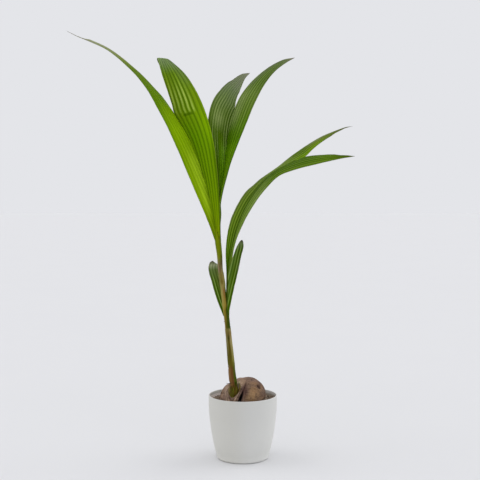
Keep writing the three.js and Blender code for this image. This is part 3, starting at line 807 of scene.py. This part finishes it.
scaleShape = {"foot": 0.199, "narrow": 0.10, "thick": 0.0012, "ragged": 0.003, "bulgeAt": 0.6}
scales = {
    "each": ("top", "facing", "wrap", "lift", "flare", "tuck", "colours"),
    "back": (0.256, 92, 150, 0.0004, 0.0040, 0.3,
             ((90, 96, 24), (132, 134, 66), (64, 52, 18), (72, 56, 28))),
    "centre": (0.249, -96, 130, 0.0005, 0.0012, 0.6,
               ((94, 92, 22), (150, 148, 64), (66, 50, 12), (100, 68, 36))),
    # the right scale's pale tip colour is a painted highlight along its top edge
    "right": (0.259, -22, 96, 0.0006, 0.0084, 0.1,
              ((100, 92, 34), (150, 160, 104), (76, 44, 22), (184, 206, 150))),
    "left": (0.252, -160, 100, 0.0004, 0.0042, 0.5,
             ((140, 124, 74), (168, 152, 104), (70, 62, 22), (96, 70, 44))),
    "frontRight": (0.257, -60, 90, 0.0010, 0.0038, 0.6,
                   ((88, 84, 22), (138, 136, 62), (84, 46, 20), (66, 62, 18))),
    "frontLeft": (0.247, -126, 90, 0.0010, 0.0034, 0.7,
                  ((102, 98, 32), (158, 150, 84), (56, 46, 12), (96, 66, 38))),
}


def scaleFinish(name, colours):
    finish = Finish(name, 0.12, stem["glossTint"])
    middle, light, dark, tip = colours
    turn, level = finish.mark("turn"), finish.mark("level")
    streak = finish.streaks(turn * 14, level * 1.3, 0.3, 4)
    hair = finish.streaks(turn * 60, level * 4, 0.7, 2)
    colour = finish.mix(streak.step(0.34, 0.58), dark, middle).coats(
        # the top edge in the tip colour: brown on most scales, a painted highlight on the right one
        (streak.step(0.58, 0.72), light), ((level + streak * 0.3).step(1.0, 1.15) * 0.8, tip),
        (finish.mark("pit") * 0.8, (58, 36, 10)))
    return finish.done(colour.tint(0.74 + hair * 0.5), 0.42 + streak * 0.2, hair + streak * 2, 0.0004)


def makeScales():
    for name in ("back", "centre", "right", "left", "frontRight", "frontLeft"):
        shape = {**scaleShape, **dict(zip(scales["each"], scales[name]))}
        made = wrap("foot_scale_" + name, shape, scaleFinish(name + "Scale", shape["colours"]))
        place(made, "green_sheath", *(["base_sheath"] if name == "centre" else []))


# dry ends that stand off the stem

dryEnds = {
    "radius": 0.0008, "steps": 12, "shades": (0.0, 0.3, 0.9), "paint": ((52, 38, 26), (128, 100, 70)),
    "lines": [[(-37, -57, 251.5), (-45, -58, 252.5), (-54, -57, 253)],
              [(-20, -58, 243), (-15, -61, 247), (-12, -62, 249)],
              [(-52, -40, 447), (-58, -42, 446), (-61, -43, 449)]],
}


def makeDryEnds():
    paths = [Line(line).at(np.linspace(0, 1, dryEnds["steps"])) for line in inMetres(dryEnds["lines"])]
    finish = fibreFinish("dryEnds", *dryEnds["paint"])
    place(strands("dry_ends", paths, dryEnds["radius"], finish, dryEnds["shades"]), "green_sheath")


makeScales()
makeDryEnds()
print("foot scales and dry ends done")


# leaves

blade = {
    "rowStep": 0.0042, "perPleat": 8, "pleatDepth": 0.0011, "finePleat": 0.0042, "thick": 0.0008,
    "roundTip": 0.02, "flutter": 0.0016, "nick": 0.0005, "ribStep": 0.006, "ribSides": 20,
    "glossTint": (214, 228, 90),
    # what most blades share
    "bow": 0.05, "pleated": 0.7, "fan": 0.0, "narrow": (0.8, 1.0), "wide": (-0.1, 0.8), "plain": 0.5,
    "dark": 0.75, "tip": 0.96,
}
# in each half, 'patches' are painted highlights, sheen and shade over windows of the blade; 'ridge' and
# 'lower' paint the pale ribs, partly their own colour and partly painted sheen; 'valley', with its share
# 'dark', is painted shade in the pleat valleys; 'crease' is painted shade along a fold
tallLeft = {
    "pleated": 0.45, "pitch": 0.0115, "narrow": (0.6, 0.9),
    "nodes": ["left_half", "left_lobe", "left_tip"],
    "stops": [(0.0, 98, 116, 4), (0.07, 114, 138, 4), (0.16, 134, 166, 4), (0.45, 138, 176, 2),
        (0.57, 94, 130, 2), (0.7, 84, 108, 8), (0.77, 116, 126, 64), (0.88, 148, 148, 122),
        (1.0, 144, 142, 124)],
    "patches": [(0.8, 0.45, 0.12, 0.34, (172, 206, 34), 0.9), (0.85, 0.2, 0.36, 0.52, (156, 194, 18), 0.8),
        (0.75, 1.0, 0.3, 0.85, (76, 118, 4), 0.5), (0.45, 0.1, 0.09, 0.2, (106, 134, 4), 0.6)],
    "ribbed": (0.0, 0.6, 0.05), "plain": 0.6, "ridge": (156, 192, 40), "valley": (100, 142, 0),
    "wide": (0.2, 0.95), "pale": 0.35, "dark": 0.35, "tip": 0.95, "tipColour": (120, 112, 92),
    "margin": [(-241, 76, 1141), (-277, 72, 1186), (-356.5, 80, 1265.5), (-431, 92, 1323.5),
        (-499, 101, 1357.5), (-519, 103, 1361.8), (-540, 104, 1369), (-581, 109, 1389)],
    "outer": [(-83, -16, 686), (-112, -14, 766), (-156, -8, 868), (-210, 0, 996), (-272, 15, 1124),
        (-339, 38, 1228), (-424.5, 64, 1306.5), (-457, 73, 1327.5), (-496, 85, 1346.2),
        (-518, 100, 1357.5), (-539, 103, 1366.4), (-581, 108.6, 1387.6)],
}
tallRight = {
    "pleated": 0.9, "pitch": 0.017, "fan": 0.6,
    "nodes": ["right_half", "right_lobe", "curled_tip"],
    "stops": [(0.0, 138, 154, 4), (0.08, 126, 156, 4), (0.24, 106, 144, 2), (0.4, 104, 148, 2),
        (0.52, 112, 146, 12), (0.6, 104, 138, 18), (0.68, 98, 130, 26), (0.85, 98, 126, 30),
        (1.0, 112, 100, 70)],
    "patches": [(0.3, 0.0, -0.1, 0.45, (106, 138, 10), 0.8), (0.75, 0.95, 0.08, 0.34, (86, 120, 0), 0.8),
        (0.6, 0.9, 0.38, 0.5, (132, 176, 0), 0.85), (0.62, 0.9, 0.5, 0.62, (124, 156, 16), 0.6),
        (0.45, 0.0, 0.48, 0.66, (114, 132, 8), 0.6), (0.5, 0.9, 0.62, 0.72, (116, 136, 84), 0.5),
        (-0.5, -0.2, 0.71, 0.75, (152, 166, 138), 0.8)],
    "ribbed": (0.5, 0.62, 0.012), "plain": 0.3, "ridge": (174, 198, 88), "lower": (134, 170, 12),
    "valley": (66, 98, 0), "ribSide": (0.9, 0.6), "wide": (-0.2, 0.8), "pale": 1.0, "dark": 0.8,
    "crease": (0.492, 0.3, 0.6), "tipColour": (112, 92, 60),
    "margin": [(-230.5, 80, 1139), (-244, 84, 1182), (-265, 92, 1245), (-281, 110, 1299),
        (-283, 142, 1292), (-237, 162, 1207), (-184, 164, 1126)],
    "outer": [(-72, -14, 690), (-73, -22, 824), (-80, -24, 928), (-93, -14, 1023), (-113, 10, 1098),
        (-148, 42, 1181), (-193, 72, 1248.5), (-249.7, 107, 1295.2), (-251, 142, 1284), (-213, 162, 1200),
        (-177, 164, 1127)],
}
tallLeaf = {
    "slot": "young_leaf", "nodes": ["rib"], "bladeFrom": 0, "ribRadii": (5.0, 1.6),
    "rib": [(-80, -12, 699), (-97, -2, 795), (-128, 22, 910), (-169, 50, 1021), (-225, 78, 1117)],
    "left": tallLeft, "right": tallRight,
}
backLeft = {
    "pitch": 0.0092, "narrow": (0.9, 0.65), "nodes": ["left_half", "left_lobe"],
    "stops": [(0.0, 182, 214, 20), (0.07, 150, 186, 14), (0.15, 92, 120, 4), (0.24, 66, 94, 0),
        (0.45, 76, 112, 2), (0.56, 86, 116, 14), (0.66, 100, 124, 48), (0.82, 118, 132, 94),
        (1.0, 144, 144, 126)],
    "patches": [(0.55, 0.1, 0.26, 0.52, (128, 182, 18), 0.9), (0.4, 0.1, 0.2, 0.26, (96, 128, 12), 0.6),
        (0.95, 0.6, 0.61, 0.67, (156, 172, 104), 0.85), (0.6, 0.9, 0.5, 0.58, (70, 98, 0), 0.5),
        (0.6, 0.15, 0.57, 0.72, (72, 100, 0), 0.85)],
    "ribbed": (0.44, 0.78, 0.08), "plain": 0.3, "ridge": (148, 166, 96), "lower": (104, 140, 20),
    "valley": (58, 90, 2), "pale": 0.7, "dark": 0.7, "tipColour": (128, 124, 112),
    "margin": [(-21, 148, 1169), (-9, 162, 1198), (4, 182, 1232), (26, 215, 1262.5)],
    "outer": [(-78, 0, 700), (-93, 32, 865), (-110, 62, 995), (-114, 88, 1095), (-98, 112, 1162),
        (-56, 148, 1219), (-33.5, 165, 1235), (-16, 182, 1250), (-1, 194, 1260), (25, 214, 1265.5)],
}
backRight = {
    "pitch": 0.0125, "narrow": (0.92, 0.7),
    "nodes": ["right_half", "right_lobe", "right_tip"],
    "stops": [(0.0, 122, 146, 8), (0.22, 132, 174, 8), (0.4, 112, 160, 6), (0.47, 84, 126, 2),
        (0.58, 96, 124, 30), (0.68, 102, 124, 50), (0.76, 82, 106, 34), (0.88, 92, 110, 56),
        (0.94, 114, 126, 86), (1.0, 136, 132, 112)],
    "patches": [(0.65, 0.2, 0.54, 0.7, (146, 164, 96), 0.75), (0.6, 1.0, 0.15, 0.6, (84, 126, 0), 0.7),
        (0.5, 0.1, 0.74, 0.95, (108, 118, 88), 0.7)],
    "ribbed": (0.5, 0.95, 0.08), "plain": 0.4, "ridge": (126, 150, 72), "lower": (112, 152, 16),
    "valley": (54, 86, 0), "pale": 0.6, "tip": 0.95, "tipColour": (136, 128, 110),
    "margin": [(-9, 144, 1175), (18, 152, 1214), (45, 162, 1244), (82, 176, 1274), (134, 196, 1305.5),
        (178, 213, 1317.5)],
    "outer": [(-69.5, -4, 700), (-71, -3, 750), (-68, -2.5, 790), (-69, -2, 820), (-47, 10, 919),
        (-11, 32, 1023), (21, 60, 1102), (56, 98, 1183), (90, 136, 1239), (132, 174, 1282.5),
        (178, 212, 1313.5)],
}
backLeaf = {
    "slot": "leaf", "nodes": ["rib"], "bladeFrom": 0, "ribRadii": (3.4, 1.5), "fan": 0.25,
    "rib": [(-76, -9, 690), (-75, 26, 817), (-62, 60, 914), (-49, 104, 1047), (-26, 140, 1139)],
    "left": backLeft, "right": backRight,
}
archingLeft = {
    "nodes": ["left_foot", "left_half", "upper_lobe"],
    "stops": [(0.0, 92, 118, 8), (0.1, 78, 112, 0), (0.2, 82, 118, 0), (0.36, 104, 130, 30),
        (0.48, 104, 124, 46), (0.58, 98, 118, 44), (0.65, 108, 128, 58), (0.71, 88, 112, 20),
        (0.76, 78, 106, 0), (0.82, 104, 122, 24), (0.9, 100, 114, 50), (1.0, 90, 90, 60)],
    "patches": [(0.4, 0.0, 0.08, 0.48, (58, 90, 0), 0.9), (0.25, 0.0, 0.44, 0.62, (48, 78, 0), 0.9),
        (0.5, 0.9, 0.56, 0.68, (130, 138, 106), 0.85), (0.5, 0.9, 0.8, 0.95, (130, 136, 106), 0.85),
        (0.7, 1.0, 0.3, 0.56, (120, 132, 80), 0.8), (0.5, 0.1, 0.7, 0.86, (118, 156, 8), 0.8)],
    "ridge": (128, 158, 52), "lower": (100, 136, 6), "valley": (48, 80, 0),
    "pale": 0.5, "tipColour": (90, 84, 60),
    "margin": [(221, -34, 993), (275, -15, 1033.5), (319, 3, 1058.5), (335, 7, 1064.6), (352, 10, 1068.4)],
    "outer": [(-54, -30, 515), (-52.5, -24, 600), (-54.5, -21, 671), (-46, -20, 741), (-31, -20, 790),
        (6.3, -16, 855.4), (36.5, -10.5, 882.6), (54, -8, 898), (105, 2, 932.5), (172, 8, 985),
        (252, 12, 1035.5), (306, 11, 1057.5), (331, 9.8, 1066), (352, 9.6, 1068.8)],
}
archingRight = {
    "narrow": (0.88, 0.8),
    "nodes": ["right_foot", "right_half", "lower_lobe"],
    "stops": [(0.0, 74, 108, 0), (0.14, 94, 122, 16), (0.3, 104, 128, 44), (0.48, 108, 128, 60),
        (0.56, 102, 124, 50), (0.62, 66, 96, 0), (0.76, 64, 96, 0), (0.87, 82, 114, 0), (1.0, 80, 90, 34)],
    "patches": [(0.36, 0.05, 0.18, 0.46, (50, 80, 0), 0.95), (0.2, 0.45, 0.2, 0.5, (116, 144, 56), 0.5),
        (0.3, 0.0, 0.42, 0.62, (46, 76, 0), 0.95), (0.65, 0.95, 0.05, 0.56, (146, 168, 92), 0.75),
        (0.4, 0.0, 0.82, 0.93, (100, 124, 50), 0.7), (0.55, 1.0, 0.58, 0.95, (106, 134, 34), 0.85)],
    "ridge": (116, 146, 44), "lower": (98, 134, 6), "valley": (46, 78, 0),
    "pale": 0.55, "tip": 0.97, "tipColour": (84, 80, 52),
    "margin": [(245, -66, 974.8), (293, -96, 973.5), (343, -126, 968.5)],
    "outer": [(-42, -32, 515), (-36.5, -32, 611), (-25.5, -38, 687), (2.5, -52, 760), (30, -64, 809),
        (75, -78, 870), (113.5, -86, 907.1), (165.5, -94, 928.1), (241, -108, 947.4), (291, -118, 957.6),
        (343, -129, 966.5)],
}
archingLeaf = {
    "slot": "leaf", "nodes": ["stalk", "rib"], "bladeFrom": 1, "ribRadii": (4.6, 1.4),
    "bow": 0.04, "pitch": 0.0108, "fan": 0.2, "ribbed": (0.12, 0.9, 0.1),
    "rib": [(-49, -38, 430), (-47, -34, 485), (-48, -28, 547), (-46, -25, 617), (-39, -24, 658),
        (-20, -26, 741), (12, -30, 819), (56, -36, 882), (104, -40, 926), (148, -42, 950),
        (193, -44, 968)],
    "left": archingLeft, "right": archingRight,
}
shortBlade = {"bow": 0.1, "plain": 0.2, "valley": (46, 76, 0), "wide": (0.3, 0.95), "dark": 0.7}
shortLeft = {
    "pitch": 0.0088,
    "stops": [(0.0, 64, 90, 0), (0.35, 68, 98, 2), (0.6, 86, 112, 26), (0.8, 100, 120, 62),
        (0.875, 162, 168, 132), (0.93, 118, 120, 92), (1.0, 84, 74, 64)],
    "patches": [(0.6, 0.2, 0.5, 0.8, (106, 116, 54), 0.6), (0.6, 0.2, 0.2, 0.45, (90, 94, 26), 0.6),
        (0.75, 1.0, 0.1, 0.85, (84, 108, 46), 0.7)],
    "ribbed": (0.15, 0.7, 0.05), "ridge": (142, 172, 86), "pale": 0.8, "tip": 0.94,
    "tipColour": (82, 72, 62),
    "inner": [(-50, -33, 464), (-60, -12, 512), (-69, 4, 563), (-74, 12, 604), (-77, 15, 617),
        (-79.5, 16, 624), (-91, 15.5, 632), (-97, 15, 637)],
    "outer": [(-62, -33, 464), (-82.5, -12, 513), (-99, 0, 566), (-111, 8, 614), (-106, 12, 632),
        (-98, 14, 637)],
}
shortRight = {
    "pitch": 0.0086,
    "stops": [(0.0, 66, 100, 4), (0.35, 74, 104, 12), (0.7, 72, 98, 18), (0.86, 62, 84, 14),
        (0.95, 98, 112, 72), (1.0, 84, 84, 66)],
    "patches": [(0.5, 0.1, 0.15, 0.9, (92, 122, 52), 0.75), (0.6, 0.9, 0.2, 0.9, (54, 80, 4), 0.6),
        (0.65, 0.95, 0.56, 0.7, (104, 122, 70), 0.7)],
    "ribbed": (0.1, 0.9, 0.05), "ridge": (134, 160, 76), "pale": 0.7, "tip": 0.95,
    "tipColour": (62, 58, 42),
    "inner": [(-50, -36, 474), (-48, -43, 552), (-46, -48, 606), (-34, -54, 647), (-16, -58, 693),
        (-5, -58, 709)],
    "outer": [(-44.5, -36, 474), (-29.5, -42, 546), (-15.8, -44, 605), (-5.2, -49, 656), (2.4, -54, 689),
        (0, -58, 708)],
}


def bladeFinish(name, look):
    # bands from the margin inwards, veins between them, painted shade in the pleat valleys and painted
    # sheen on the ridges, and patches of painted highlight, sheen and shade where the blade turns in the
    # light
    finish = Finish(name, 0.08, look["glossTint"])
    pleat, along, across, rim, run, under = (
        finish.mark(mark) for mark in ("pleat", "along", "across", "rim", "run", "under"))
    wave = finish.maths("COSINE", pleat * (2 * math.pi))
    vein = finish.streaks(pleat * 7, run * 9, 0.0, 3)
    hair = finish.streaks(pleat * 26, run * 14, 3.0, 2)
    band = finish.streaks(pleat * 0.55, run * 1.6, 7.0, 2, 0.5)
    each = finish.streaks(finish.maths("ROUND", pleat) * 3.7, run * 3.5, 5.0, 1, 0.5)
    cloud = finish.noise(9, 3, 0.5)
    colour = finish.ramp(along + (cloud - 0.5) * 0.10, look["stops"])
    # patches of painted highlight, sheen and shade, each over a window along and across the blade
    for near, far, start, stop, shade, share in look["patches"]:
        window = along.window(start - 0.05, start + 0.05, stop - 0.05, stop + 0.05)
        colour = colour.coats(((across + (band - 0.5) * 0.2).step(near, far) * window * share, shade))
    start, stop, soft = look["ribbed"]
    window = along.window(start - soft, start + soft, stop - 0.06, stop + 0.06)
    if "ribSide" in look:
        window = window * across.step(*look["ribSide"])
    ribs = each.step(0.25, 0.55) * (window * (1 - look["plain"]) + look["plain"])
    ridge = finish.mix(window, look.get("lower", look["ridge"]), look["ridge"])
    # painted shade in the pleat valleys, then the pale ribs, partly their own colour and partly painted
    # sheen
    colour = colour.coats((wave.step(-0.2, -0.92) * (0.6 + ribs * 0.4) * look["dark"], look["valley"]),
                          (wave.step(*look["wide"]) * ribs * look["pale"], ridge))
    # painted shade along a fold across the blade
    if "crease" in look:
        at, near, far = look["crease"]
        fold = along.window(at - 0.005, at, at + 0.004, at + 0.012)
        fold = fold * across.window(near - 0.05, near + 0.03, far - 0.03, far + 0.05)
        colour = colour.coats((fold * 0.7, look["valley"]))
    dry = (rim + (vein - 0.5) * 0.0014).step(0.0011, 0.0003) * 0.75
    brown = (along + (hair - 0.5) * 0.03).step(look["tip"], look["tip"] + 0.05) * 0.85
    colour = colour.tint(0.62 + band * 0.36 + vein * 0.26 + hair * 0.14).coats(
        (under * 0.3, (116, 140, 70)), (dry, (96, 80, 44)), (brown, look["tipColour"]))
    return finish.done(colour, 0.36 + vein * 0.14 + cloud * 0.08, hair * 0.5 + vein, 0.00022)


def bladeFrame(inner, outer, share, hand):
    # the strip's start, its way across and the way its upper face looks, at shares of its length
    start, across = inner.at(share), outer.at(share) - inner.at(share)
    forward = unit(inner.slope(share) + outer.slope(share))
    face = unit(np.cross(forward, across) * hand)
    blur = np.hanning(25)[:, None] / np.hanning(25).sum()
    padded = np.concatenate([np.repeat(face[:1], 12, 0), face, np.repeat(face[-14:-13], 12, 0)])
    face = unit(sum(padded[k:k + len(face)] * blur[k] for k in range(25)))
    return start, across, face


def bladePiece(name, inner, outer, half, hand, notch, finish, seed):
    # one side of a leaf, pleated along its length; past the notch it is a lobe of its own
    rows = int(outer.length / blade["rowStep"])
    share = np.linspace(0, 1, rows)
    start, across, face = bladeFrame(inner, outer, share, hand)
    width = np.linalg.norm(across, axis=-1)
    widest = width.max()
    columns = int(widest / half["pitch"] * blade["perPleat"]) + 6
    reach = np.linspace(0, 1, columns)
    s, w = share[:, None], width[:, None]
    narrowFrom, narrowTo = half["narrow"]
    taper = np.sqrt(np.clip((1 - s) / blade["roundTip"], 0, 1))
    taper = taper * (1 - (1 - narrowTo) * easeStep(s, narrowFrom, 1.0))
    spread = 0.5 + (reach - 0.5) * taper
    lobeWidth = w / np.interp(notch, share, width)
    pitch = half["pitch"] * np.where(s > notch, np.minimum(1, lobeWidth), 1) ** 0.55
    pitch = pitch * (w / widest) ** half["fan"]
    fromOuter = (1 - reach) * w
    pleat = fromOuter / pitch
    depth = blade["pleatDepth"] * half["pleated"] * np.minimum(1, w / (4 * pitch)) * (0.7 + 0.3 * taper)
    depth = depth * np.minimum(1, pitch / blade["finePleat"]) ** 1.5
    ridge = np.cos(2 * math.pi * pleat) + 0.11 * np.cos(6 * math.pi * pleat)
    lift = half["bow"] * w * 4 * reach * (1 - reach) + depth * ridge
    run = s * outer.length
    waver = grain(joined(run * 9, reach * 1.4, seed), 2)
    lift = lift + blade["flutter"] * waver * reach * np.minimum(1, w / 0.04)
    nick = blade["nick"] * grain(joined(run * 60, 0, seed), 3)
    nicked = spread + nick * (2 * reach - 1) ** 7 / np.maximum(w, 0.004)
    middle = start[:, None] + across[:, None] * nicked[..., None] + face[:, None] * lift[..., None]
    rounded = 0.45 + 0.55 * np.sqrt(np.sin(math.pi * np.clip(reach, 0.02, 0.98)))
    thick = blade["thick"] * rounded * (0.4 + 0.6 * taper)
    offset = face[:, None] * (thick / 2)[..., None]
    rim = np.where(s > notch, np.minimum(fromOuter, reach * w), fromOuter)
    marks = {"pleat": pleat, "along": s, "across": reach, "run": run, "rim": rim, "under": (0, 1)}
    return sheetPiece(name, middle + offset, middle - offset, finish, marks)


def ribPiece(name, leaf, halves, ribLength, finish):
    # the midrib under the blade: round below and flattened above
    whole = Line(inMetres(leaf["rib"]))
    steps = int(whole.length / blade["ribStep"])
    share = np.linspace(0, 1, steps)
    skipped = whole.length - ribLength
    faces = []
    for inner, outer, hand in halves:
        along = np.clip((share * whole.length - skipped) / inner.length, 0, 1)
        faces.append(bladeFrame(inner, outer, along, hand)[2])
    up = unit(faces[0] + faces[1])
    forward = whole.slope(share)
    up = unit(up - forward * (up * forward).sum(-1, keepdims=True))
    right = np.cross(forward, up)
    radius = np.linspace(*leaf["ribRadii"], steps)[:, None] * 0.001
    turn = 2 * math.pi * (np.arange(blade["ribSides"]) + 0.5) / blade["ribSides"]
    wide, tall = np.cos(turn), np.sin(turn)
    tall = np.where(tall > 0, tall * 0.25 - 0.1 * tall ** 2, tall)
    centre = (whole.at(share) - up * radius * 0.35)[:, None]
    rings = centre + right[:, None] * (radius * wide)[..., None] + up[:, None] * (radius * tall)[..., None]
    marks = {"along": share[:, None] * 0.55, "pleat": turn / 3, "run": share[:, None] * whole.length,
             "across": 0, "rim": 0.01, "under": 0.4}
    return ringPiece(name, rings, finish, marks, sharp=80)


def makeLeaf(name, leaf, seed):
    ribLine = leaf["rib"][leaf["bladeFrom"]:]
    ribLength = Line(inMetres(ribLine)).length
    halves = []
    for side, hand in (("left", 1), ("right", -1)):
        half = {**blade, **leaf, **leaf[side]}
        inner, outer = Line(inMetres(ribLine + half["margin"])), Line(inMetres(half["outer"]))
        halves.append((inner, outer, hand))
        finish = bladeFinish(f"{name}{side.title()}Blade", half)
        made = bladePiece(f"{name}_leaf_{side}_blade", inner, outer, half, hand, ribLength / inner.length,
                          finish, seed + hand)
        place(made, leaf["slot"], *(f"{name}_leaf_{part}" for part in half["nodes"]))
    made = ribPiece(f"{name}_leaf_midrib", leaf, halves, ribLength, finish)
    place(made, leaf["slot"], *(f"{name}_leaf_{part}" for part in leaf["nodes"]))
    print(name, "leaf done")


def makeShortLeaf(side, own, hand, seed):
    leaf = {**blade, **shortBlade, **own}
    inner, outer = Line(inMetres(leaf["inner"])), Line(inMetres(leaf["outer"]))
    name = "short_leaf_" + side
    made = bladePiece(name, inner, outer, leaf, hand, 0.0, bladeFinish(name + "Blade", leaf), seed)
    place(made, "leaf", f"small_{side}_leaf")
    print("short leaf on the", side, "done")


makeLeaf("tall", tallLeaf, 0.0)
makeLeaf("back", backLeaf, 7.3)
makeLeaf("arching", archingLeaf, 14.6)
makeShortLeaf("left", shortLeft, 1, 31.0)
makeShortLeaf("right", shortRight, -1, 32.0)
